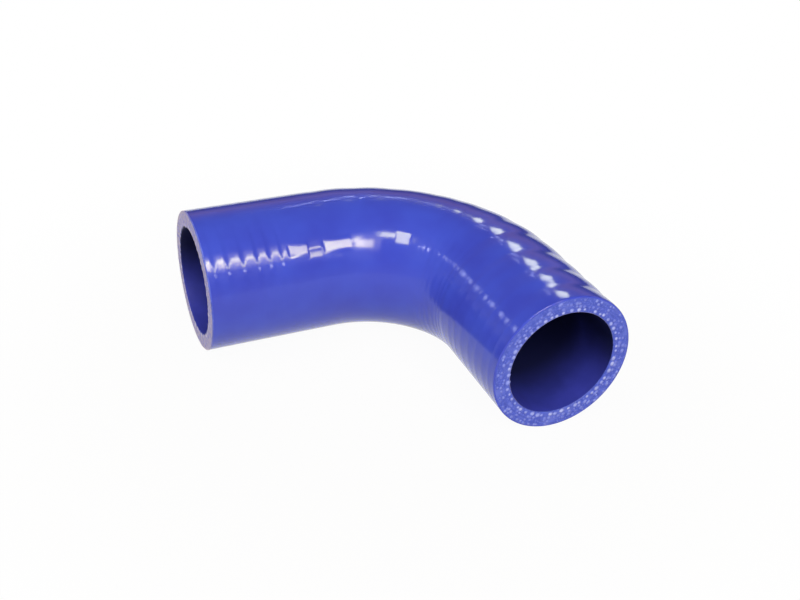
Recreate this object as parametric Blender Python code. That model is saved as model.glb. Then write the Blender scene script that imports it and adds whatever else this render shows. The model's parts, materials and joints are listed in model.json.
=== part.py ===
"""Reinforced silicone elbow hose: a quarter bend between two straight legs, open at both ends.

The hose is one cured wall. It was laid up on a bent mandrel, bound with a narrow curing tape and cut
square at both ends, so its bore is smooth and its outside keeps the marks of the tape. Each lap left a
low ridge with a wide trough beside it, and on the upper outer side past the bend, where the laps fan
out, they run together into broad pillows.

It lies on its side with both legs level. +Z is up, leg A points along -X and leg B along -Y for a
right-angle bend. The origin is the centre of the base of its bounding box. Units are metres.
"""

import math

import bmesh
import bpy
from mathutils import Vector

# Driving dimensions of the hose
BORE_DIAMETER = 0.032
WALL = 0.005
BEND_RADIUS = 0.042
BEND_ANGLE = math.radians(90)
STRAIGHT_A = 0.040
STRAIGHT_B = 0.033

# Ridges of the curing tape, which winds along the centreline. The first one is measured from leg A's
# end, on the side named here, and the rounding is a share of the depth
TAPE_PITCH = 0.00405
FIRST_RIDGE = 0.0017
RIDGE_SIDE = math.radians(140)
RIDGE_DEPTH = 0.00008
RIDGE_ROUNDING = 0.22

# Pillows past the bend, measured from leg A's end to the first groove, with the side where they stand
PILLOW_PITCH = 0.0101
FIRST_GROOVE = 0.0315
PILLOW_DEPTH = 0.00028
PILLOW_SIDE = math.radians(58)

# How finely the round walls are drawn
SIDES = 36
STATIONS_PER_LAP = 4
BEND_STEPS_IN_BORE = 18

# Colour and finish of glossy blue silicone
SILICONE_COLOUR = (0.056, 0.082, 0.60, 1.0)
SILICONE_ROUGHNESS = 0.28
SILICONE_IOR = 1.42

OUTER_RADIUS = BORE_DIAMETER / 2 + WALL
BEND_LENGTH = BEND_RADIUS * BEND_ANGLE
HOSE_LENGTH = STRAIGHT_A + BEND_LENGTH + STRAIGHT_B
BEND_START = STRAIGHT_A

UP = Vector((0, 0, 1))


def clear_scene():
    """Removes whatever the file opened with."""
    for obj in list(bpy.data.objects):
        bpy.data.objects.remove(obj, do_unlink=True)


def centreline(distance):
    """Centre of the section and the level direction out of the bend, at a distance from leg A's end.

    The bend's own centre is the origin here. The line runs along +X, round the bend and out of leg B.
    """
    turned = min(max((distance - BEND_START) / BEND_RADIUS, 0), BEND_ANGLE)
    outward = Vector((math.sin(turned), math.cos(turned), 0))
    along = Vector((math.cos(turned), -math.sin(turned), 0))
    past_bend = distance - BEND_START - turned * BEND_RADIUS
    return outward * BEND_RADIUS + along * past_bend, outward


def past_bend_share(distance):
    """0 before the bend, rising smoothly to 1 at its end."""
    share = min(max((distance - BEND_START) / BEND_LENGTH, 0), 1)
    return share * share * (3 - 2 * share)


def ridge_trough(distance, angle):
    """Depth of the trough between two laps.

    The tape climbs one pitch each turn. The absolute sine of half a turn per lap gives a narrow crest
    and a wide trough, and the rounding turns its sharp crest into a hyperbola's.
    """
    laps = (distance - FIRST_RIDGE) / TAPE_PITCH - (angle - RIDGE_SIDE) / (2 * math.pi)
    return RIDGE_DEPTH * (math.hypot(math.sin(math.pi * laps), RIDGE_ROUNDING) - RIDGE_ROUNDING)


def pillow_groove(distance, angle):
    """Depth of the groove between two pillows, deepest on their own side and gone opposite it."""
    count = (distance - FIRST_GROOVE) / PILLOW_PITCH
    side_share = (0.5 + 0.5 * math.cos(angle - PILLOW_SIDE)) ** 3
    return PILLOW_DEPTH * side_share * past_bend_share(distance) * math.cos(math.pi * count) ** 2


def tape_depth(distance, angle):
    """Depth of the tape's marks below the hose's full radius."""
    return ridge_trough(distance, angle) + pillow_groove(distance, angle)


def section_ring(bm, distance, radius_at):
    """One ring of vertices square to the centreline, with its radius given for each angle.

    Angle 0 is the outside of the bend and a quarter turn is the top.
    """
    centre, outward = centreline(distance)
    ring = []
    for side in range(SIDES):
        angle = 2 * math.pi * side / SIDES
        direction = outward * math.cos(angle) + UP * math.sin(angle)
        ring.append(bm.verts.new(centre + direction * radius_at(angle)))
    return ring


def join_rings(bm, rings):
    """Quads between each ring and the next."""
    for ring, following in zip(rings, rings[1:]):
        for side in range(SIDES):
            beside = (side + 1) % SIDES
            bm.faces.new((ring[side], ring[beside], following[beside], following[side]))


def outer_stations():
    """Distances of the outer rings: evenly spaced, a few to each lap of the tape."""
    count = math.ceil(HOSE_LENGTH / TAPE_PITCH * STATIONS_PER_LAP)
    return [HOSE_LENGTH * i / count for i in range(count + 1)]


def bore_stations():
    """Distances of the bore's rings: both ends, and even steps round the bend."""
    steps = [BEND_START + BEND_LENGTH * i / BEND_STEPS_IN_BORE for i in range(BEND_STEPS_IN_BORE + 1)]
    return [0, *steps, HOSE_LENGTH]


def hose_mesh():
    """The wall: ridged outside, smooth bore, and a flat ring at each cut end."""
    bm = bmesh.new()
    outside = [
        section_ring(bm, at, lambda angle, at=at: OUTER_RADIUS - tape_depth(at, angle))
        for at in outer_stations()
    ]
    bore = [section_ring(bm, at, lambda angle: BORE_DIAMETER / 2) for at in bore_stations()]
    join_rings(bm, outside)
    join_rings(bm, bore)
    for end in (0, -1):
        join_rings(bm, [outside[end], bore[end]])
    bmesh.ops.recalc_face_normals(bm, faces=bm.faces)
    rest_on_base(bm)
    mesh = bpy.data.meshes.new("hose")
    bm.to_mesh(mesh)
    bm.free()
    return mesh


def rest_on_base(bm):
    """Moves the mesh so that the centre of its bounding box's base is the origin."""
    lowest = Vector(min(v.co[axis] for v in bm.verts) for axis in range(3))
    highest = Vector(max(v.co[axis] for v in bm.verts) for axis in range(3))
    base = (lowest + highest) / 2
    base.z = lowest.z
    bmesh.ops.translate(bm, verts=bm.verts, vec=-base)


def silicone():
    """Glossy blue silicone rubber."""
    material = bpy.data.materials.new("blue_silicone")
    material.use_nodes = True
    shader = material.node_tree.nodes["Principled BSDF"]
    shader.inputs["Base Color"].default_value = SILICONE_COLOUR
    shader.inputs["Roughness"].default_value = SILICONE_ROUGHNESS
    shader.inputs["Metallic"].default_value = 0
    shader.inputs["IOR"].default_value = SILICONE_IOR
    return material


def build():
    """The whole hose, which is one node."""
    clear_scene()
    mesh = hose_mesh()
    mesh.shade_smooth()
    mesh.set_sharp_from_angle(angle=math.radians(40))
    mesh.materials.append(silicone())
    hose = bpy.data.objects.new("elbow_hose", mesh)
    bpy.context.scene.collection.objects.link(hose)


build()
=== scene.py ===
"""Looks of a reinforced silicone elbow hose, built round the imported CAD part.

The hose is one cured wall: glossy blue silicone outside, where the curing tape left low ridges, a
smooth bore, and two square knife cuts that show the ends of the fabric's yarns.

Lengths are in metres. Two coordinates run over the wall. "Distance" is measured along the
centreline from leg A's cut end. "Angle" goes round the section: 0 faces away from the bend's centre
and a quarter turn is the top.
"""

import json
import logging
import math
from abc import ABC, abstractmethod
from dataclasses import dataclass, field
from enum import Enum
from typing import Any

import bpy
import numpy as np
from bpy.types import ID, Material, Mesh, Node, NodeSocket, NodeTree, Object
from mathutils import Matrix, Vector

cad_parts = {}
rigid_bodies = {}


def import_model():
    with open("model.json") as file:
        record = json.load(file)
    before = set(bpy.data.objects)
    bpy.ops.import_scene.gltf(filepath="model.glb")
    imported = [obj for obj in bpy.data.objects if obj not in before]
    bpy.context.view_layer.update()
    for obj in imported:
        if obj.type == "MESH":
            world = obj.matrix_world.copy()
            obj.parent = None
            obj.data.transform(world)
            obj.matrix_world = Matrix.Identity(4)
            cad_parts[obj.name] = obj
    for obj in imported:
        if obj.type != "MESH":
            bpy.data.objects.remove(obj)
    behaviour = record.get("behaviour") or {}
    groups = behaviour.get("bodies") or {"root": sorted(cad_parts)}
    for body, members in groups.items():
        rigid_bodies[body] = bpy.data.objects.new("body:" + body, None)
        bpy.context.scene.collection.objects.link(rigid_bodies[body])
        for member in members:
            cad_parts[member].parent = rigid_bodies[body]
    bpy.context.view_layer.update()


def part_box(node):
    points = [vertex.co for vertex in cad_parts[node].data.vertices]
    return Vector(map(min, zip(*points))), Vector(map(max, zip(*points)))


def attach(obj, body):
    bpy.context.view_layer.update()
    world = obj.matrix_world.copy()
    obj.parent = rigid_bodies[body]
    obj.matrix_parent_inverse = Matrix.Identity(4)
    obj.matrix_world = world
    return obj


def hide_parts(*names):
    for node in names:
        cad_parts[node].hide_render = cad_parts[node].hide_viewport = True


MM = 0.001
HOSE_NODE = "elbow_hose"
BODY = "root"

# Settings that several nodes share
SMOOTH = {"interpolation_type": "SMOOTHSTEP"}
COLOURS = {"data_type": "RGBA"}
LARGER = {"operation": "MAXIMUM"}

log = logging.getLogger("elbow_hose")


class Finish(Enum):
    """The finishes of the wall, in the order of its material slots."""

    TAPED = 0
    BORE = 1
    CUT = 2


class Leg(Enum):
    """The two cut ends, named for their legs."""

    A = "leg_a"
    B = "leg_b"


def linear(code: str) -> tuple[float, float, float, float]:
    """Turns an sRGB hex colour into linear red, green, blue and alpha.

    Args:
        code: Six hex digits after a hash sign.

    Returns:
        The linear colour with an alpha of 1.
    """
    channels = [int(code[i:i + 2], 16) / 255 for i in (1, 3, 5)]
    red, green, blue = (
        c / 12.92 if c <= 0.04045 else ((c + 0.055) / 1.055) ** 2.4 for c in channels
    )
    return red, green, blue, 1.0


def add_node(
    tree: NodeTree,
    kind: str,
    settings: dict[str, Any] | None = None,
    values: dict[str | int, Any] | None = None,
    links: dict[str | int, Node | NodeSocket] | None = None,
    stops: list[tuple[float, str]] | None = None,
) -> Node:
    """Adds a node with its settings, its sockets' values and the links into it.

    Args:
        tree: The node tree that takes the node.
        kind: The node's type name, without the word ShaderNode in front.
        settings: Attributes of the node itself.
        values: Default values by input name or number.
        links: Output sockets, or nodes for their first output, by input name or number.
        stops: Place and sRGB hex colour of each stop of a colour ramp, in rising order.

    Returns:
        The new node.
    """
    node = tree.nodes.new("ShaderNode" + kind)
    for name, value in (settings or {}).items():
        setattr(node, name, value)
    for name, value in (values or {}).items():
        node.inputs[name].default_value = value
    for name, source in (links or {}).items():
        socket = source.outputs[0] if isinstance(source, Node) else source
        tree.links.new(socket, node.inputs[name])
    if stops:
        elements = node.color_ramp.elements
        while len(elements) < len(stops):
            elements.new(0.5)
        for element, (place, code) in zip(elements, stops):
            element.position = place
            element.color = linear(code)
    return node


def mottle(
    tree: NodeTree,
    place: Node | NodeSocket,
    size: float,
    detail: float,
    stops: list[tuple[float, str]],
    roughness: float = 0.5,
) -> tuple[Node, Node]:
    """Adds an uneven tint: a noise of a real size that runs through a colour ramp.

    Args:
        tree: The node tree that takes both nodes.
        place: Coordinates in metres.
        size: Size of a patch.
        detail: How many finer layers the noise has.
        stops: The ramp's stops.
        roughness: How strong the finer layers are.

    Returns:
        The noise and the ramp.
    """
    noise = add_node(
        tree, "TexNoise", values={"Scale": 1 / size, "Detail": detail, "Roughness": roughness},
        links={"Vector": place},
    )
    return noise, add_node(tree, "ValToRGB", links={0: noise}, stops=stops)


def add_object(name: str, data: ID) -> Object:
    """Adds an object to the scene.

    Args:
        name: The object's name.
        data: Its mesh, lamp or camera.

    Returns:
        The new object.
    """
    added = bpy.data.objects.new(name, data)
    bpy.context.scene.collection.objects.link(added)
    return added


def add_mesh(
    name: str,
    points: np.ndarray,
    faces: Any,
    materials: list[Material],
    smooth: bool = False,
) -> Object:
    """Adds an object with a mesh of its own.

    Args:
        name: The name of both.
        points: Places of the points.
        faces: Numbers of each face's points.
        materials: The material slots.
        smooth: Whether the faces are shaded smooth.

    Returns:
        The new object.
    """
    mesh = bpy.data.meshes.new(name)
    mesh.from_pydata(points.reshape(-1, 3), [], faces)
    mesh.polygons.foreach_set("use_smooth", np.full(len(mesh.polygons), smooth))
    for material in materials:
        mesh.materials.append(material)
    return add_object(name, mesh)


def set_points(mesh: Mesh, name: str, values: np.ndarray) -> None:
    """Gives each point of a mesh a value, which a material reads by its name."""
    layer = mesh.attributes.new(name, "FLOAT", "POINT")
    layer.data.foreach_set("value", values.astype(np.float32))


def smooth_step(value: np.ndarray, low: float, high: float) -> np.ndarray:
    """Rises from 0 at low to 1 at high: three times the share's square less twice its cube."""
    share = np.clip((value - low) / (high - low), 0, 1)
    return share * share * (3 - 2 * share)


def facing(angle: np.ndarray, side: float, power: int) -> np.ndarray:
    """1 where the section faces a side and 0 opposite it, as a power of a raised cosine."""
    return np.clip(0.5 + 0.5 * np.cos(angle - side), 0, 1) ** power


@dataclass(frozen=True)
class Surface(ABC):
    """A procedural material, named for what the real one is."""

    name: str

    @abstractmethod
    def shader(self, tree: NodeTree) -> Node:
        """Adds the material's own nodes.

        Args:
            tree: The material's empty node tree.

        Returns:
            The shader that the surface shows.
        """

    def material(self) -> Material:
        """Builds the material.

        Returns:
            The finished material.
        """
        material = bpy.data.materials.new(self.name)
        material.use_nodes = True
        tree = material.node_tree
        tree.nodes.clear()
        add_node(tree, "OutputMaterial", links={"Surface": self.shader(tree)})
        return material


@dataclass(frozen=True)
class TapedSilicone(Surface):
    """Silicone rubber cured under a tight nylon tape.

    The tape's smooth film leaves a glossy skin, so lamps show in it with crisp edges. The pigment is
    even, with only a faint cloudiness, and the skin is slightly wavy over each two millimetres.
    """

    name: str = "taped_silicone"
    colour: str = "#4455cb"
    cloud_colour: str = "#404cc0"
    ior: float = 1.42
    roughness: float = 0.14
    cloud_size: float = 14 * MM
    wave_size: float = 2.2 * MM
    wave_height: float = 0.005 * MM

    def shader(self, tree: NodeTree) -> Node:
        """Adds the cloudy tint and the waviness."""
        place = add_node(tree, "TexCoord").outputs["Object"]
        stops = [(0.35, self.cloud_colour), (0.65, self.colour)]
        _, tint = mottle(tree, place, self.cloud_size, 2.0, stops)
        wave = add_node(
            tree, "TexNoise",
            values={"Scale": 1 / self.wave_size, "Detail": 1.0}, links={"Vector": place},
        )
        bump = add_node(tree, "Bump", values={"Distance": self.wave_height}, links={"Height": wave})
        return add_node(
            tree, "BsdfPrincipled", values={"Roughness": self.roughness, "IOR": self.ior},
            links={"Base Color": tint, "Normal": bump},
        )


@dataclass(frozen=True)
class BoreSilicone(Surface):
    """Silicone liner formed on a greased steel mandrel.

    It is smooth and duller than the taped outside. Its colour holds painted shade: it turns darker
    and greyer farther in than at its mouths and towards its upper side, so that only its lower side
    near the mouths keeps the paler blue that the light reaches.
    """

    name: str = "bore_silicone"
    colour: str = "#4349ba"
    streak_colour: str = "#383ea0"
    # Painted shade: the colour that the bore turns to farther in and on its upper side.
    painted_shade_colour: str = "#1b1e46"
    # Depths from a mouth over which the painted shade sets in.
    shade_start_depth: float = 2 * MM
    full_shade_depth: float = 22 * MM
    # Heights, as sines of the angle round the section, over which painted shade sets in towards the
    # upper side.
    lit_height: float = -0.9
    shaded_height: float = 0.3
    ior: float = 1.42
    roughness: float = 0.45
    specular: float = 0.12
    streak_size: float = 9 * MM

    def shader(self, tree: NodeTree) -> Node:
        """Adds the streaky tint, and painted shade over it farther in and on the upper side."""
        place = add_node(tree, "TexCoord").outputs["Object"]
        stops = [(0.3, self.streak_colour), (0.7, self.colour)]
        _, tint = mottle(tree, place, self.streak_size, 3.0, stops)
        inside = add_node(tree, "Attribute", settings={"attribute_name": "from_mouth"})
        # Painted shade that deepens farther in from the mouths.
        depth_shade = add_node(
            tree, "MapRange", settings=SMOOTH,
            values={1: self.shade_start_depth, 2: self.full_shade_depth}, links={0: inside.outputs["Fac"]},
        )
        height = add_node(tree, "Attribute", settings={"attribute_name": "height_share"})
        # Painted shade on the upper side; the lower side, which the light reaches, stays paler.
        upper_shade = add_node(
            tree, "MapRange", settings=SMOOTH,
            values={1: self.lit_height, 2: self.shaded_height}, links={0: height.outputs["Fac"]},
        )
        dark = add_node(tree, "Math", settings=LARGER, links={0: depth_shade, 1: upper_shade})
        # The streaky tint turns to the painted shade colour by the larger of the two shares.
        colour = add_node(
            tree, "Mix", settings=COLOURS,
            values={7: linear(self.painted_shade_colour)}, links={0: dark, 6: tint},
        )
        return add_node(
            tree, "BsdfPrincipled",
            values={"Roughness": self.roughness, "IOR": self.ior, "Specular IOR Level": self.specular},
            links={"Base Color": colour.outputs[2]},
        )


@dataclass(frozen=True)
class CutSilicone(Surface):
    """Silicone and fabric cut square with a knife.

    The cut is matt, with pale dust, and paler smears where the knife dragged. It shows the plies as
    faint rings, because each ply was laid round the mandrel. Fine fuzz of the cut yarns gives it a pale
    sheen when it is seen along.
    """

    name: str = "cut_silicone"
    colour: str = "#465aca"
    ring_colour: str = "#3a4dba"
    dust_colour: str = "#7484e2"
    sheen_colour: str = "#ffecca"
    ior: float = 1.42
    roughness: float = 0.55
    sheen: float = 1.0
    sheen_roughness: float = 0.35
    smear_size: float = 6 * MM
    ring_spacing: float = 0.45 * MM
    ring_length: float = 5 * MM
    dust_size: float = 0.6 * MM
    dust_height: float = 0.03 * MM

    def shader(self, tree: NodeTree) -> Node:
        """Adds the rings, which follow the wall's own UV map in metres, and the dust and smears."""
        coordinates = add_node(tree, "TexCoord")
        stretch = add_node(
            tree, "Mapping", values={"Scale": (1 / self.ring_length, 1 / self.ring_spacing, 1.0)},
            links={"Vector": coordinates.outputs["UV"]},
        )
        ring_stops = [(0.35, self.ring_colour), (0.6, self.colour)]
        _, ringed = mottle(tree, stretch, 1.0, 2.0, ring_stops)
        place = coordinates.outputs["Object"]
        dust_stops = [(0.5, "#000000"), (0.75, "#ffffff")]
        dust, dusted = mottle(tree, place, self.dust_size, 3.0, dust_stops, roughness=0.6)
        smear_stops = [(0.5, "#000000"), (0.68, "#c0c0c0")]
        _, smeared = mottle(tree, place, self.smear_size, 1.0, smear_stops)
        pale = add_node(tree, "Math", settings=LARGER, links={0: dusted, 1: smeared})
        mixed = add_node(
            tree, "Mix", settings=COLOURS,
            values={7: linear(self.dust_colour)}, links={0: pale, 6: ringed},
        )
        bump = add_node(tree, "Bump", values={"Distance": self.dust_height}, links={"Height": dust})
        return add_node(
            tree, "BsdfPrincipled",
            values={
                "Roughness": self.roughness, "IOR": self.ior, "Sheen Weight": self.sheen,
                "Sheen Roughness": self.sheen_roughness, "Sheen Tint": linear(self.sheen_colour),
            },
            links={"Base Color": mixed.outputs[2], "Normal": bump},
        )


@dataclass(frozen=True)
class PolyesterYarn(Surface):
    """Cut ends of white polyester yarn, stained by the blue silicone that soaked them.

    Each end is a tuft of matt filaments, pale in its middle and as blue as the rubber at its edge,
    where the silicone soaked in. Some were cut clean and others are smeared.
    """

    pale_colour: str = "#bcc4f6"
    stained_colour: str = "#8f9dec"
    edge_colour: str = "#465aca"
    sheen_colour: str = "#ffecca"
    roughness: float = 0.7
    sheen: float = 1.0
    sheen_roughness: float = 0.35
    ior: float = 1.5
    stain_size: float = 2.1 * MM
    soaked_from: float = 0.3

    def shader(self, tree: NodeTree) -> Node:
        """Adds the stained tint, which turns to the rubber's blue at each end's edge."""
        place = add_node(tree, "TexCoord").outputs["Object"]
        stops = [(0.38, self.stained_colour), (0.62, self.pale_colour)]
        _, tint = mottle(tree, place, self.stain_size, 2.0, stops)
        middle = add_node(tree, "Attribute", settings={"attribute_name": "from_middle"})
        soaked = add_node(
            tree, "MapRange", settings=SMOOTH,
            values={1: self.soaked_from}, links={0: middle.outputs["Fac"]},
        )
        colour = add_node(
            tree, "Mix", settings=COLOURS,
            values={7: linear(self.edge_colour)}, links={0: soaked, 6: tint},
        )
        return add_node(
            tree, "BsdfPrincipled",
            values={
                "Roughness": self.roughness, "IOR": self.ior, "Sheen Weight": self.sheen,
                "Sheen Roughness": self.sheen_roughness, "Sheen Tint": linear(self.sheen_colour),
            },
            links={"Base Color": colour.outputs[2]},
        )


@dataclass
class Elbow:
    """Sizes of the hose, the same as the CAD part's, and its place in the row frame."""

    bore_diameter: float = 32 * MM
    wall: float = 5 * MM
    bend_radius: float = 42 * MM
    bend_angle: float = math.radians(90)
    straight_a: float = 40 * MM
    straight_b: float = 33 * MM
    bend_centre: np.ndarray = field(init=False)

    def __post_init__(self) -> None:
        """Places the bend's centre from the two cut faces and the base of the CAD part's box."""
        low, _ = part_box(HOSE_NODE)
        inset = (self.straight_a, self.straight_b, self.outer_radius)
        self.bend_centre = np.array(low) + np.array(inset)

    @property
    def bore_radius(self) -> float:
        """Radius of the bore."""
        return self.bore_diameter / 2

    @property
    def outer_radius(self) -> float:
        """Radius of the outside, over the tape's ridges."""
        return self.bore_diameter / 2 + self.wall

    @property
    def bend_length(self) -> float:
        """Length of the centreline inside the bend."""
        return self.bend_radius * self.bend_angle

    @property
    def length(self) -> float:
        """Length of the whole centreline."""
        return self.straight_a + self.bend_length + self.straight_b

    def bend_share(self, distance: np.ndarray) -> np.ndarray:
        """0 in both legs, and a squared half sine over the bend that reaches 1 at its middle."""
        share = np.clip((distance - self.straight_a) / self.bend_length, 0, 1)
        return np.sin(np.pi * share) ** 2

    def point(self, distance: np.ndarray, angle: np.ndarray, radius: np.ndarray) -> np.ndarray:
        """Points of the section at a distance, an angle and a radius.

        The centreline runs along +X, turns by the distance inside the bend over the bend's radius, and
        leaves in a straight line. A point is its centre plus the radius times a direction, which is
        outward times the angle's cosine plus up times its sine.

        Args:
            distance: Distances along the centreline.
            angle: Angles round the section.
            radius: Distances from the centreline.

        Returns:
            Points with x, y and z in the last axis.
        """
        distance, angle, radius = np.broadcast_arrays(distance, angle, radius)
        turned = np.clip((distance - self.straight_a) / self.bend_radius, 0, self.bend_angle)
        outward = np.stack([np.sin(turned), np.cos(turned), 0 * turned], axis=-1)
        along = np.stack([np.cos(turned), -np.sin(turned), 0 * turned], axis=-1)
        past_bend = distance - self.straight_a - turned * self.bend_radius
        centre = self.bend_centre + outward * self.bend_radius + along * past_bend[..., None]
        point = centre + outward * (radius * np.cos(angle))[..., None]
        point[..., 2] += radius * np.sin(angle)
        return point


@dataclass(frozen=True)
class PressedFlat:
    """A small patch where a lap of tape lay flat, so that the skin is planed there instead of round.

    Its ends are in mm along the hose. Its middle, its half width and the way it faces are in degrees
    round the hose. Its softness multiplies the widths over which its edges blend into the skin. One
    with a lean is a plane that leans so many degrees along the hose, and one without is flat only
    round it. Its high end stands above the skin by the mm named as proud, where the lap's edge lifted.
    """

    start: float
    end: float
    middle: float
    half_width: float
    facing: float
    softness: float = 1.0
    lean: float | None = None
    proud: float = 0.0


@dataclass
class TapeRelief:
    """The marks that the curing tape left.

    Each lap left a narrow low ridge with a shallow trough beside it. On the upper outer side, where
    the laps fan out round the bend, they run together into broad pillows with narrow grooves between.
    "marks" pairs the place of a ridge's crest (a whole count of laps) or of a trough's middle (a half
    count), in mm along the upper side towards the bend's centre, with that count. "grooves" are places
    in mm as well. A name that ends in "span" holds the two distances between which a smooth step
    rises, and "pillow_rises" pairs what each step adds to the pillows' depth with its span. The blends
    at a pressed flat's ends are in mm, those at its sides in degrees, and its reach is in radians.
    """

    elbow: Elbow
    marks: tuple[tuple[float, float], ...] = (
        (1.7, 0), (5.65, 1), (10.05, 2), (14.3, 3), (17.85, 4), (21.65, 5), (80.85, 19.5),
        (92.3, 22.5), (97.7, 23.5), (104.2, 25.5), (108.4, 26.5), (113.0, 27.5), (116.25, 28.5),
        (120.9, 29.5), (125.5, 30.5), (129.1, 31.5), (133.6, 32.5), (136.65, 33.5),
    )
    marks_side: float = math.radians(140)
    lap_pitch: float = 4.05
    depth: float = 0.080 * MM
    crest: float = 0.22
    late_crest: float = 0.07
    early: float = 1.2
    calm: float = 0.2
    late: float = 1.15
    calm_span: tuple[float, float] = (21.5 * MM, 25 * MM)
    late_span: tuple[float, float] = (76 * MM, 84 * MM)
    throat_span: tuple[float, float] = (66 * MM, 80 * MM)
    away_share: float = 0.2
    throat_share: float = 0.5
    under_pillows: float = 0.1
    skew: float = 0.4
    skew_span: tuple[float, float] = (22 * MM, 25 * MM)
    grooves: tuple[float, ...] = (
        30.0, 40.5, 51.0, 61.3, 72.8, 79.3, 85.5, 93.7, 102.2, 113.0, 123.3, 132.2, 141.5,
    )
    pillow_depth: float = 0.28 * MM
    pillow_side: float = math.radians(58)
    pillow_lean: float = 1.2
    pillow_round: float = 0.65
    pillow_rises: tuple[tuple[float, float, float], ...] = (
        (0.45, 26 * MM, 45 * MM), (-0.25, 62 * MM, 72 * MM), (0.80, 88 * MM, 99 * MM),
    )
    throat_side: float = math.radians(208)
    wobble: float = 0.25 * MM
    seed: int = 7
    flats: tuple[PressedFlat, ...] = (
        PressedFlat(24.3, 30.3, 138.5, 3.6, 139.5, lean=-1.5, proud=0.08),
        PressedFlat(30.3, 34.5, 144.6, 3.2, 142.2, softness=0.7),
        PressedFlat(34.9, 45.7, 139.7, 4.1, 140.0, softness=1.4, lean=-2.0, proud=0.15),
        PressedFlat(66.3, 73.4, 134.5, 5.0, 134.5),
    )
    end_blend: float = 0.35
    side_blend: float = 2.0
    flat_reach: float = 0.35
    least_share: float = 0.5

    def wander(self, distance: np.ndarray, angle: np.ndarray) -> np.ndarray:
        """How far each lap strays from its even place: a few slow waves along and round the hose.

        Each wave is a sine of a whole number of turns of the angle plus a seeded phase, times a sine
        of the distance, so that it closes on itself round the section.
        """
        rng = np.random.default_rng(self.seed)
        total = np.zeros(np.broadcast(distance, angle).shape)
        for turns in (0, 1, 1, 2):
            length = rng.uniform(9, 26) * MM
            phases = rng.uniform(0, 2 * np.pi, 2)
            along = 2 * np.pi * distance / length
            total += np.sin(turns * angle + phases[0]) * np.sin(along + phases[1])
        return total * self.wobble / 2

    def stretch(self, distance: np.ndarray, angle: np.ndarray) -> np.ndarray:
        """Spacing of the laps on the skin over their spacing on the centreline, at most 1.

        In the bend it is 1 plus the outer radius over the bend's radius times the angle's cosine.
        """
        inner = np.minimum(np.cos(angle), 0) * self.elbow.outer_radius / self.elbow.bend_radius
        return 1 + inner * np.sqrt(self.elbow.bend_share(distance))

    def ridges(self, distance: np.ndarray, angle: np.ndarray) -> np.ndarray:
        """Depth below the ridges' crests.

        The count of laps runs in straight lines between the marks, and it falls by one for each turn
        round the hose, as a helix does. The trough between two crests is the absolute sine of half a
        turn per lap, and the crest's width rounds its cusp off as a hyperbola does. Near leg A's end
        the count is skewed by a share of one less the cosine of a turn per lap, so that a lap's far
        side is the steeper one.
        """
        places, counts = np.array(self.marks).T
        side = angle - self.marks_side
        away = 0.5 - 0.5 * np.cos(side)
        along = (distance + away * self.wander(distance, angle)) / MM
        laps = np.interp(along, places, counts)
        laps = laps + np.minimum(along - places[0], 0) / self.lap_pitch
        laps = laps + np.maximum(along - places[-1], 0) / self.lap_pitch - side / (2 * np.pi)
        skew = self.skew * (1 - smooth_step(distance, *self.skew_span))
        laps = laps + skew * (1 - np.cos(2 * np.pi * laps)) / (2 * np.pi)
        late = smooth_step(distance, *self.late_span)
        crest = self.crest + (self.late_crest - self.crest) * late
        trough = np.sqrt(np.sin(np.pi * laps) ** 2 + crest ** 2) - crest
        trough = trough / (np.sqrt(1 + crest ** 2) - crest)
        return self.depth * self.strength(distance, angle) * self.stretch(distance, angle) * trough

    def strength(self, distance: np.ndarray, angle: np.ndarray) -> np.ndarray:
        """Share of the ridges' full depth.

        It is rather more than all of it near leg A's end, a fifth in the bend and more than all of it
        again in leg B, by smooth steps. It falls to a fifth away from the side of the marks, by a power
        of a raised cosine, rises again in the bend's throat, and is least where the pillows are.
        """
        calm = smooth_step(distance, *self.calm_span)
        late = smooth_step(distance, *self.late_span)
        outer = facing(angle, self.pillow_side, 2)
        near = facing(angle, self.marks_side, 12)
        throat = facing(angle, self.throat_side, 12) * smooth_step(distance, *self.throat_span)
        lengthwise = self.early - (self.early - self.calm) * calm + (self.late - self.calm) * late
        round_hose = self.away_share + (1 - self.away_share) * near + self.throat_share * throat
        return lengthwise * (1 - (1 - self.under_pillows) * outer * calm) * round_hose

    def pillows(self, distance: np.ndarray, angle: np.ndarray) -> np.ndarray:
        """Depth below the broad pillows.

        The count of pillows runs in straight lines between the grooves, which lean a little along the
        hose as they go round it. A groove is the sixth power of the absolute cosine of half a turn per
        pillow, plus a share of its square, which rounds the pillow's back.
        """
        lean = self.pillow_lean * np.sin(angle - self.pillow_side)
        along = (distance + self.wander(distance, angle)) / MM + lean
        count = np.interp(along, self.grooves, np.arange(len(self.grooves)))
        wave = np.abs(np.cos(np.pi * count))
        groove = (1 - self.pillow_round) * wave ** 6 + self.pillow_round * wave ** 2
        rise = sum(step * smooth_step(distance, low, high) for step, low, high in self.pillow_rises)
        return self.pillow_depth * groove * facing(angle, self.pillow_side, 3) * rise

    def press(self, distance: np.ndarray, angle: np.ndarray, depth: np.ndarray) -> np.ndarray:
        """Planes the pressed flats into the skin.

        A flat starts at the hose's full radius and sinks until its high end stands only as proud as
        it may. Smooth steps blend it into the skin, half inside its ends and all outside its sides.

        Args:
            distance: Distances along the centreline.
            angle: Angles round the section.
            depth: Depth of the skin without the flats.

        Returns:
            Depth of the skin with the flats.
        """
        along = distance / MM
        for flat in self.flats:
            ends = np.abs(along - (flat.start + flat.end) / 2) - (flat.end - flat.start) / 2
            sides = np.abs(np.degrees(angle) - flat.middle) - flat.half_width
            end_blend, side_blend = self.end_blend * flat.softness, self.side_blend * flat.softness
            window = 1 - smooth_step(ends, -end_blend, end_blend)
            window = window * (1 - smooth_step(sides, 0.0, side_blend))
            sink = self.elbow.outer_radius - self.flat_radius(distance, angle, flat)
            proud = flat.proud * MM
            highest = min(np.where(window > 0.5, sink, 0.0).min(), 0.0)
            depth = depth + (np.maximum(sink - proud - highest, -proud) - depth) * window
        return depth

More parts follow.
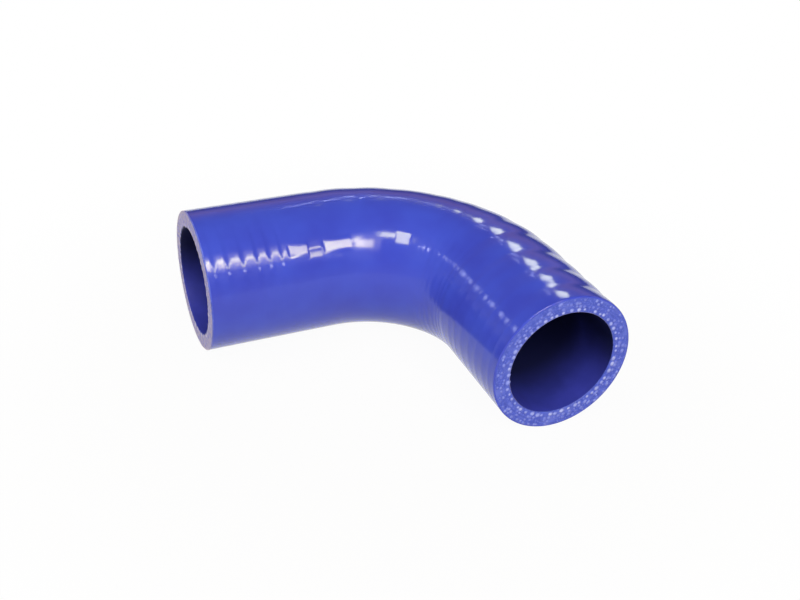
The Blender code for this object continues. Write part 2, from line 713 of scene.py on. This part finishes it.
    def flat_radius(self, distance: np.ndarray, angle: np.ndarray, flat: PressedFlat) -> np.ndarray:
        """Radius of a flat that touches the hose's full radius where it faces.

        Without a lean it is the full radius over the cosine of the angle from the way it faces, which
        is held within reach of the flat. With one it is the centreline's own distance to the plane over
        the share of the section's direction that points square to the plane, which is at least a half.

        Args:
            distance: Distances along the centreline.
            angle: Angles round the section.
            flat: The flat.

        Returns:
            The radius, for each distance and angle.
        """
        way = math.radians(flat.facing)
        if flat.lean is None:
            turned = np.clip(angle - way, -self.flat_reach, self.flat_reach)
            return self.elbow.outer_radius / np.cos(turned)
        start, zero, one = np.array(flat.start * MM), np.array(0.0), np.array(1.0)
        foot = self.elbow.point(start, way, zero)
        onward = (self.elbow.point(start + MM, way, zero) - foot) / MM
        lean = math.radians(flat.lean)
        square = self.elbow.point(start, way, one) - foot
        normal = square * math.cos(lean) + onward * math.sin(lean)
        centre = self.elbow.point(distance, angle, zero)
        across = self.elbow.point(distance, angle, one) - centre
        gap = self.elbow.outer_radius - (centre - foot) @ normal
        return gap / np.maximum(across @ normal, self.least_share)

    def depth_at(self, distance: np.ndarray, angle: np.ndarray) -> np.ndarray:
        """Depth of the skin below the hose's full radius."""
        marks = self.ridges(distance, angle) + self.pillows(distance, angle)
        return self.press(distance, angle, marks)


@dataclass
class HoseWall:
    """The whole wall as one closed surface: taped outside, two cut faces, and the bore."""

    elbow: Elbow
    relief: TapeRelief
    sides: int = 160
    stations: int = 530
    bore_stations: int = 60
    face_rings: int = 10
    edge_radius: float = 0.35 * MM
    edge_margin: float = 1.2
    edge_steps: int = 4
    close_side: float = math.radians(140)
    closeness: float = 0.72

    def edge(self, distance: float, inward: int) -> tuple[np.ndarray, np.ndarray]:
        """Quarter round from a surface into a cut face.

        Args:
            distance: Distance of the cut face.
            inward: +1 where the hose lies at greater distances, -1 at smaller ones.

        Returns:
            Distances, and depths below the surface that it rounds, each as a row.
        """
        turn = np.linspace(0, np.pi / 2, self.edge_steps + 1)[1:-1]
        along = distance + inward * self.edge_radius * (1 - np.sin(turn))
        return along, self.edge_radius * (1 - np.cos(turn))

    def rows(self) -> tuple[np.ndarray, np.ndarray, np.ndarray, np.ndarray]:
        """The closed profile that is carried round the wall's section, row by row.

        It runs out along the skin, over the edge of leg B's cut, across the cut to the bore, back along
        the bore, and over leg A's cut to where it began. The rows across a cut keep clear of its edges
        by the edge radius times the margin.

        Returns:
            Each row's distance, its depth below the skin or above the bore at an edge, its place
            across the wall from 0 at the bore to 1 at the skin, and its finish.
        """
        length = self.elbow.length
        e = self.edge_radius
        clear = self.edge_margin * e / self.elbow.wall
        across = np.linspace(1 - clear, clear, self.face_rings)
        skin = np.linspace(e, length - e, self.stations)
        bore = np.linspace(length - e, e, self.bore_stations)
        over_b, deep_b = self.edge(length, -1)
        over_a, deep_a = self.edge(0.0, 1)
        parts = [
            (skin, 0.0, 1.0, Finish.TAPED),
            (over_b, deep_b, 1.0, Finish.TAPED),
            (length, 0.0, across, Finish.CUT),
            (over_b[::-1], -deep_b[::-1], 0.0, Finish.CUT),
            (bore, 0.0, 0.0, Finish.BORE),
            (over_a, -deep_a, 0.0, Finish.BORE),
            (0.0, 0.0, across[::-1], Finish.CUT),
            (over_a[::-1], deep_a[::-1], 1.0, Finish.CUT),
        ]
        rows = [np.broadcast_arrays(*part[:3], part[3].value) for part in parts]
        distance, depth, place, finish = (np.concatenate(column) for column in zip(*rows))
        return distance, depth, place, finish

    def build(self, finishes: list[Material]) -> Object:
        """Builds the wall's mesh and gives each row its finish.

        The profile is carried round the section, in steps that are closest on the side of the tape's
        clearest marks: the angle is the even turn less a share of its sine from there. A point's radius
        goes in a straight line from the bore to the skin by its place across the wall, and the skin
        lies below full radius by the relief.

        Args:
            finishes: Materials in the order of Finish.

        Returns:
            The wall's object.
        """
        distance, depth, place, finish = self.rows()
        turn = np.arange(self.sides + 1) * 2 * np.pi / self.sides
        angle = turn - self.closeness * (np.sin(turn - self.close_side) + math.sin(self.close_side))
        distance_grid, angle_grid = np.meshgrid(distance, angle[:-1], indexing="ij")
        skin = self.elbow.outer_radius - self.relief.depth_at(distance_grid, angle_grid)
        bore = self.elbow.bore_radius
        radius = bore + (skin - bore) * place[:, None] - depth[:, None]
        points = self.elbow.point(distance_grid, angle_grid, radius)

        row, column = np.meshgrid(np.arange(len(distance)), np.arange(self.sides), indexing="ij")
        following = (row + 1) % len(distance)
        corners = [(row, column), (following, column), (following, column + 1), (row, column + 1)]
        quads = np.stack([r * self.sides + c % self.sides for r, c in corners], axis=-1)
        wall = add_mesh("hose_wall", points, quads.reshape(-1, 4), finishes, smooth=True)
        mesh = wall.data
        mesh.polygons.foreach_set("material_index", np.repeat(finish, self.sides))
        from_mouth = np.minimum(distance, self.elbow.length - distance)
        set_points(mesh, "from_mouth", np.repeat(from_mouth, self.sides))
        set_points(mesh, "height_share", np.tile(np.sin(angle[:-1]), len(distance)))

        arc = angle * self.elbow.outer_radius
        across = place * self.elbow.wall
        uv = np.stack([np.stack([arc[c], across[r]], axis=-1) for r, c in corners], axis=2)
        layer = mesh.uv_layers.new(name="round_and_across")
        layer.data.foreach_set("uv", uv.reshape(-1).astype(np.float32))
        mesh.update()
        return wall


@dataclass
class YarnEnds:
    """The cut ends of the yarns on one cut face: four plies, each a ring of small low domes.

    Each ply has its depth from the bore, the spacing and size of its yarns, the share of them that is
    missing, and how far they stray along its ring as a share of their spacing.
    """

    elbow: Elbow
    leg: Leg
    seed: int
    ply_depths: tuple[float, ...] = (0.85 * MM, 1.9 * MM, 2.9 * MM, 3.9 * MM)
    spacings: tuple[float, ...] = (2.05 * MM, 1.7 * MM, 1.75 * MM, 1.8 * MM)
    sizes: tuple[float, ...] = (0.88 * MM, 0.72 * MM, 0.70 * MM, 0.66 * MM)
    missing: tuple[float, ...] = (0.02, 0.16, 0.2, 0.3)
    strays: tuple[float, ...] = (0.16, 0.36, 0.36, 0.36)
    stray_depth: float = 0.12 * MM
    size_range: tuple[float, float] = (0.7, 1.3)
    proud: float = 0.06 * MM
    sides: int = 8
    ring_shares: tuple[float, ...] = (1.0, 0.92, 0.6)
    ring_rises: tuple[float, ...] = (-0.6, 0.35, 0.85)
    side_stretch: float = 0.9
    radius_stretch: float = 0.8

    def places(self) -> tuple[np.ndarray, np.ndarray, np.ndarray, int]:
        """Angle, radius and size of each yarn end, and how many are in the inner ply.

        Each ply is an even ring, and a seeded draw shifts, resizes or leaves out its yarns.
        """
        rng = np.random.default_rng(self.seed)
        angles, radii, sizes = [], [], []
        plies = zip(self.ply_depths, self.spacings, self.sizes, self.missing, self.strays)
        for depth, spacing, size, missing, stray in plies:
            radius = self.elbow.bore_radius + depth
            count = round(2 * np.pi * radius / spacing)
            kept = rng.uniform(size=count) > missing
            angle = (np.arange(count) + rng.normal(0, stray, count)) * 2 * np.pi / count
            angles.append(angle[kept])
            radii.append((radius + rng.normal(0, self.stray_depth, count))[kept])
            sizes.append((size * rng.uniform(*self.size_range, count))[kept])
        return np.concatenate(angles), np.concatenate(radii), np.concatenate(sizes), len(angles[0])

    def build(self, inner: Material, outer: Material) -> Object:
        """Builds all the domes of one cut face as one mesh.

        A dome has a base ring sunk below the face, two shoulder rings above it and a top point. A
        ring's points lie round the dome's centre at its size times a share, stretched a little, and
        rise by a share of its height.

        Args:
            inner: The finish of the inner ply's yarn.
            outer: The finish of the other plies' yarn.

        Returns:
            The object.
        """
        angle, radius, size, inner_count = self.places()
        n = self.sides
        turn = np.append(np.tile(np.arange(n), len(self.ring_shares)), 0) * 2 * np.pi / n
        share = np.append(np.repeat(self.ring_shares, n), 0.0)
        rise = self.proud * np.append(np.repeat(self.ring_rises, n), 1.0)
        side_shift = size[:, None] * share * np.cos(turn) * self.side_stretch
        radius_shift = size[:, None] * share * np.sin(turn) * self.radius_stretch
        at_b = self.leg is Leg.B
        points = self.elbow.point(
            self.elbow.length + rise if at_b else -rise,
            angle[:, None] + side_shift / radius[:, None],
            radius[:, None] + radius_shift,
        )

        i = np.arange(n)
        j = (i + 1) % n
        low = np.stack([i, j, n + j, n + i], axis=1)
        cap = np.stack([2 * n + i, 2 * n + j, np.full(n, 3 * n)], axis=1)
        start = (np.arange(len(size)) * (3 * n + 1))[:, None, None]
        slot = (np.arange(len(size)) >= inner_count).astype(np.int32)
        faces, slots = [], []
        for shape in (low, n + low, cap, i[None, ::-1]):
            shape = shape if at_b else shape[:, ::-1]
            faces += (start + shape).reshape(-1, shape.shape[1]).tolist()
            slots.append(np.repeat(slot, len(shape)))
        ends = add_mesh(f"yarn_ends_{self.leg.value}", points, faces, [inner, outer], smooth=True)
        ends.data.polygons.foreach_set("material_index", np.concatenate(slots))
        set_points(ends.data, "from_middle", np.tile(share, len(size)))
        ends.data.update()
        return ends


def direction(azimuth: float, elevation: float) -> Vector:
    """Unit vector of a direction seen from the hose.

    Args:
        azimuth: Degrees round from the front, -Y, towards +X.
        elevation: Degrees above level.

    Returns:
        The direction.
    """
    turn, rise = math.radians(azimuth), math.radians(elevation)
    level = math.cos(rise)
    return Vector((math.sin(turn) * level, -math.cos(turn) * level, math.sin(rise)))


@dataclass
class StudioCamera:
    """The camera at the photograph's viewing angle, worked out from the hose's outline there."""

    azimuth: float = -24.897
    elevation: float = 32.053
    roll: float = 2.743
    distance: float = 307.9 * MM
    aim: tuple[float, float, float] = (1.95 * MM, -3.50 * MM, 21.0 * MM)
    focal_pixels: float = 1053.2
    photo_width: float = 800.0
    sensor_width: float = 36.0

    def build(self) -> None:
        """Makes the camera and sets it as the scene's own."""
        data = bpy.data.cameras.new("studio_camera")
        data.sensor_width = self.sensor_width
        data.lens = self.focal_pixels / self.photo_width * self.sensor_width
        data.clip_start = 0.01
        back = direction(self.azimuth, self.elevation)
        right = (-back).cross(Vector((0, 0, 1))).normalized()
        up = right.cross(-back)
        roll = math.radians(self.roll)
        right, up = (
            right * math.cos(roll) + up * math.sin(roll),
            up * math.cos(roll) - right * math.sin(roll),
        )
        turn = Matrix((right, up, back)).transposed().to_4x4()
        camera = add_object("studio_camera", data)
        camera.matrix_world = Matrix.Translation(Vector(self.aim) + back * self.distance) @ turn
        bpy.context.scene.camera = camera


def area_lamp(
    name: str, size: tuple[float, float], brightness: float, colour: str, place: Matrix,
) -> Object:
    """Adds a rectangular lamp that the camera doesn't see and that lights only what is glossy.

    Its power is pi times its area times its brightness, where a white card is 1.

    Args:
        name: The lamp's name.
        size: Its width and height.
        brightness: How bright it looks.
        colour: Its sRGB hex colour.
        place: Its place and turn.

    Returns:
        The lamp's object.
    """
    data = bpy.data.lights.new(name, "AREA")
    data.shape = "RECTANGLE"
    data.size, data.size_y = size
    data.energy = math.pi * size[0] * size[1] * brightness
    data.color = linear(colour)[:3]
    lamp = add_object(name, data)
    lamp.matrix_world = place
    lamp.visible_camera = False
    lamp.visible_diffuse = False
    return lamp


@dataclass
class Lamp:
    """A rectangular studio lamp that faces the hose.

    Most are only seen in its gloss. One that is a fill lights its colour instead.
    """

    name: str
    azimuth: float
    elevation: float
    distance: float
    width: float
    height: float
    brightness: float
    colour: str = "#ffffff"
    fill: bool = False

    def build(self) -> None:
        """Makes the lamp."""
        towards = direction(self.azimuth, self.elevation)
        turn = towards.to_track_quat("Z", "Y").to_matrix().to_4x4()
        place = Matrix.Translation(towards * self.distance) @ turn
        size = (self.width, self.height)
        lamp = area_lamp(self.name, size, self.brightness, self.colour, place)
        lamp.visible_glossy = not self.fill
        lamp.visible_diffuse = self.fill


@dataclass
class CeilingStrip:
    """A long narrow lamp under the ceiling, given by its two ends above the floor plan."""

    name: str
    start: tuple[float, float]
    end: tuple[float, float]
    ceiling: float
    width: float
    brightness: float
    colour: str

    def build(self) -> None:
        """Makes the strip. It faces the hose, and its long side lies along the line of its ends."""
        start = Vector((*self.start, 1.0)) * self.ceiling
        end = Vector((*self.end, 1.0)) * self.ceiling
        middle = (start + end) / 2
        long_side = (end - start).normalized()
        outward = (middle - long_side * middle.dot(long_side)).normalized()
        turn = Matrix((long_side, outward.cross(long_side), outward)).transposed().to_4x4()
        place = Matrix.Translation(middle) @ turn
        size = ((end - start).length, self.width)
        area_lamp(self.name, size, self.brightness, self.colour, place)


@dataclass(frozen=True)
class BrownBoard(Surface):
    """Matt brown board. It shows only as a dark edge in the hose's gloss."""

    name: str = "brown_board"
    colour: str = "#33261f"

    def shader(self, tree: NodeTree) -> Node:
        """Adds one matt shader."""
        return add_node(tree, "BsdfDiffuse", values={"Color": linear(self.colour)})


@dataclass
class DarkCard:
    """A low curved card of brown board behind the hose, which gives its far edge a dark outline."""

    middle_azimuth: float = 148.0
    spread: float = 44.0
    distance: float = 0.62
    height: float = 0.075
    steps: int = 24

    def build(self) -> Object:
        """Makes the card as a strip of level arcs, standing on the floor and facing the hose.

        Returns:
            The card's object.
        """
        first, last = self.middle_azimuth - self.spread, self.middle_azimuth + self.spread
        turns = np.radians(np.linspace(first, last, self.steps))
        foot = np.stack([np.sin(turns), -np.cos(turns), 0 * turns], axis=1) * self.distance
        top = foot + np.array([0.0, 0.0, self.height])
        i = np.arange(self.steps - 1)
        faces = np.stack([i, i + self.steps, i + self.steps + 1, i + 1], axis=1)
        points = np.concatenate([foot, top])
        card = add_mesh("dark_card", points, faces, [BrownBoard().material()])
        card.visible_camera = False
        return card


@dataclass(frozen=True)
class PaleFloor(Surface):
    """White floor that fades to grey far off.

    Seen by the camera or in a reflection it is lifted towards white, and rather less near the hose, so
    that the hose's shadow stays in it.
    """

    name: str = "pale_floor"
    colour: str = "#d8d2cc"
    far_colour: str = "#c8c0ba"
    white_radius: float = 0.8
    grey_radius: float = 2.4
    lift: float = 0.96
    lift_from: float = 50 * MM
    lift_to: float = 170 * MM

    def shader(self, tree: NodeTree) -> Node:
        """Adds the matt paint, and a glow over it for the camera's and reflected rays."""
        place = add_node(tree, "TexCoord").outputs["Object"]
        far = add_node(tree, "VectorMath", settings={"operation": "LENGTH"}, links={0: place})
        fade = add_node(
            tree, "MapRange", settings=SMOOTH,
            values={1: self.white_radius, 2: self.grey_radius}, links={0: far.outputs["Value"]},
        )
        lift = add_node(
            tree, "MapRange", settings=SMOOTH,
            values={1: self.lift_from, 2: self.lift_to, 3: self.lift},
            links={0: far.outputs["Value"]},
        )
        white = add_node(
            tree, "Mix", settings=COLOURS,
            values={6: linear("#ffffff"), 7: linear(self.far_colour)}, links={0: fade},
        )
        path = add_node(tree, "LightPath")
        seen = path.outputs["Is Camera Ray"]
        for ray in ("Is Glossy Ray", "Is Transmission Ray"):
            seen = add_node(tree, "Math", settings=LARGER, links={0: seen, 1: path.outputs[ray]})
        share = add_node(tree, "Math", settings={"operation": "MULTIPLY"}, links={0: seen, 1: lift})
        paint = add_node(tree, "BsdfDiffuse", values={"Color": linear(self.colour)})
        glow = add_node(tree, "Emission", links={"Color": white.outputs[2]})
        return add_node(tree, "MixShader", links={0: share, 1: paint, 2: glow})


@dataclass
class Studio:
    """A plain pale floor, soft lamps and dim walls.

    The lamps seen in the gloss are tinted, so that they show as near white on the blue skin.
    "wall_heights" and "corner_heights" are the heights of the walls' colours, from level to straight
    up, and the corner's share rises between the two cosines named as corner_from and corner_to.
    """

    paint: PaleFloor = PaleFloor()
    floor_radius: float = 3.0
    floor_corners: int = 64
    backdrop_colour: str = "#f4f2f0"
    wall_heights: tuple[float, ...] = (0.0, 0.42, 1.0)
    wall_colour: str = "#5c5450"
    zenith_colour: str = "#4c4c54"
    corner_azimuth: float = 139.0
    corner_from: float = 0.15
    corner_to: float = 0.75
    corner_heights: tuple[float, ...] = (0.0, 0.1, 0.3, 0.7)
    corner_low: str = "#54403a"
    corner_high: str = "#cc9a5c"
    lamps: tuple[Lamp | CeilingStrip, ...] = (
        CeilingStrip("front_strip", (0.535, -1.101), (0.000, -0.566), 1.2, 0.09, 25.0, "#fff5a4"),
        CeilingStrip("left_strip", (-0.20, -0.40), (-0.64, -0.135), 1.2, 0.18, 22.0, "#fffcb8"),
        Lamp("upper_patch", 21.4, 47.4, 1.6, 0.10, 0.08, 23.0, "#fff3a0"),
        Lamp("patch_halo", 20.0, 47.0, 1.6, 0.40, 0.30, 1.8, "#fff0d8"),
        Lamp("notch_patch", 31.5, 39.8, 1.6, 0.21, 0.07, 20.0, "#fff5a4"),
        Lamp("low_strip", 25.2, 32.2, 1.6, 0.11, 0.09, 28.0, "#f8f8ff"),
        Lamp("warm_umbrella", 0.0, 50.0, 1.2, 0.20, 0.22, 8.0, "#fff0a4"),
        Lamp("umbrella_side", -6.0, 50.0, 1.2, 0.38, 0.27, 19.0, "#fff0a4"),
        Lamp("umbrella_halo", -4, 52.5, 1.2, 0.75, 0.56, 2.0, "#fff0d8"),
        Lamp("back_window", 147.1, 38.5, 1.6, 0.24, 0.30, 11.0, "#f8fdd8"),
        Lamp("back_glint", 156.7, 32.2, 1.6, 0.045, 0.06, 15.0, "#c4d0ff"),
        Lamp("top_glint", 159.7, 37.8, 1.6, 0.02, 0.04, 45.0, "#c4d0ff"),
        Lamp("left_spot", -142, 23.2, 1.6, 0.11, 0.13, 11.0, "#dce4ff"),
        Lamp("next_spot", -129.3, 30.6, 1.6, 0.08, 0.11, 12.0, "#dce4ff"),
        Lamp("second_spot", -118.7, 35.9, 1.6, 0.08, 0.11, 13.0, "#dce4ff"),
        Lamp("third_spot", -93, 46.2, 1.6, 0.09, 0.12, 34.0, "#e4eaff"),
        Lamp("key_fill", -5, 39, 1.6, 0.9, 0.9, 7.0, fill=True),
        Lamp("left_fill", -92, 42, 1.6, 1.2, 1.0, 2.4, fill=True),
        Lamp("overhead_fill", 10, 84, 1.5, 1.5, 1.5, 0.5, fill=True),
    )

    def floor(self) -> Object:
        """Round floor, as one flat face of many corners.

        Returns:
            The floor's object.
        """
        turn = np.arange(self.floor_corners) * 2 * np.pi / self.floor_corners
        rim = np.stack([np.cos(turn), np.sin(turn), 0 * turn], axis=1) * self.floor_radius
        face = list(range(self.floor_corners))
        return add_mesh("floor", rim, [face], [self.paint.material()])

    def world(self) -> None:
        """Walls that are pale low down, dim overhead and dim and warm in one corner.

        Their colour goes by the height of the direction looked in, and the corner's share by how far
        that direction's level part points into the corner. The camera sees a plain pale backdrop.
        """
        world = bpy.data.worlds.new("studio_walls")
        world.use_nodes = True
        tree = world.node_tree
        tree.nodes.clear()
        sight = add_node(tree, "TexCoord").outputs["Generated"]
        split = add_node(tree, "SeparateXYZ", links={0: sight})
        walls = (self.paint.far_colour, self.wall_colour, self.zenith_colour)
        corner_walls = (self.corner_low, self.corner_low, self.corner_high, self.wall_colour)
        wall, corner_wall = (
            add_node(
                tree, "ValToRGB", links={0: split.outputs["Z"]}, stops=list(zip(heights, colours)),
            )
            for heights, colours in (
                (self.wall_heights, walls), (self.corner_heights, corner_walls),
            )
        )
        towards = add_node(
            tree, "VectorMath", settings={"operation": "DOT_PRODUCT"},
            values={1: tuple(direction(self.corner_azimuth, 0))}, links={0: sight},
        )
        share = add_node(
            tree, "MapRange", settings=SMOOTH,
            values={1: self.corner_from, 2: self.corner_to}, links={0: towards.outputs["Value"]},
        )
        mixed = add_node(tree, "Mix", settings=COLOURS, links={0: share, 6: wall, 7: corner_wall})
        path = add_node(tree, "LightPath")
        shown = add_node(
            tree, "Mix", settings=COLOURS, values={7: linear(self.backdrop_colour)},
            links={0: path.outputs["Is Camera Ray"], 6: mixed.outputs[2]},
        )
        glow = add_node(tree, "Background", links={"Color": shown.outputs[2]})
        add_node(tree, "OutputWorld", links={"Surface": glow})
        bpy.context.scene.world = world

    def build(self) -> None:
        """Sets the floor, the dark card, the lamps and the walls."""
        self.floor()
        DarkCard().build()
        for lamp in self.lamps:
            lamp.build()
        self.world()


def clear_startup() -> None:
    """Removes what Blender's startup file holds."""
    for obj in list(bpy.data.objects):
        bpy.data.objects.remove(obj, do_unlink=True)


def main() -> None:
    """Loads the frame, builds the hose round it, and sets the camera and the studio."""
    logging.basicConfig(level=logging.INFO, format="%(message)s")
    clear_startup()
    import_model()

    StudioCamera().build()
    elbow = Elbow()
    finishes = [TapedSilicone().material(), BoreSilicone().material(), CutSilicone().material()]
    wall = HoseWall(elbow, TapeRelief(elbow)).build(finishes)
    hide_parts(HOSE_NODE)
    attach(wall, BODY)
    log.info("hose wall: %d faces", len(wall.data.polygons))

    clean_yarn = PolyesterYarn("clean_yarn").material()
    stained_yarn = PolyesterYarn("stained_yarn", "#8b98e8", "#6273d8").material()
    for leg, seed in ((Leg.A, 11), (Leg.B, 12)):
        ends = YarnEnds(elbow, leg, seed).build(clean_yarn, stained_yarn)
        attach(ends, BODY)
        log.info("yarn ends of %s: %d faces", leg.value, len(ends.data.polygons))

    Studio().build()
    bpy.context.scene.view_settings.view_transform = "Standard"


if __name__ == "__main__":
    main()
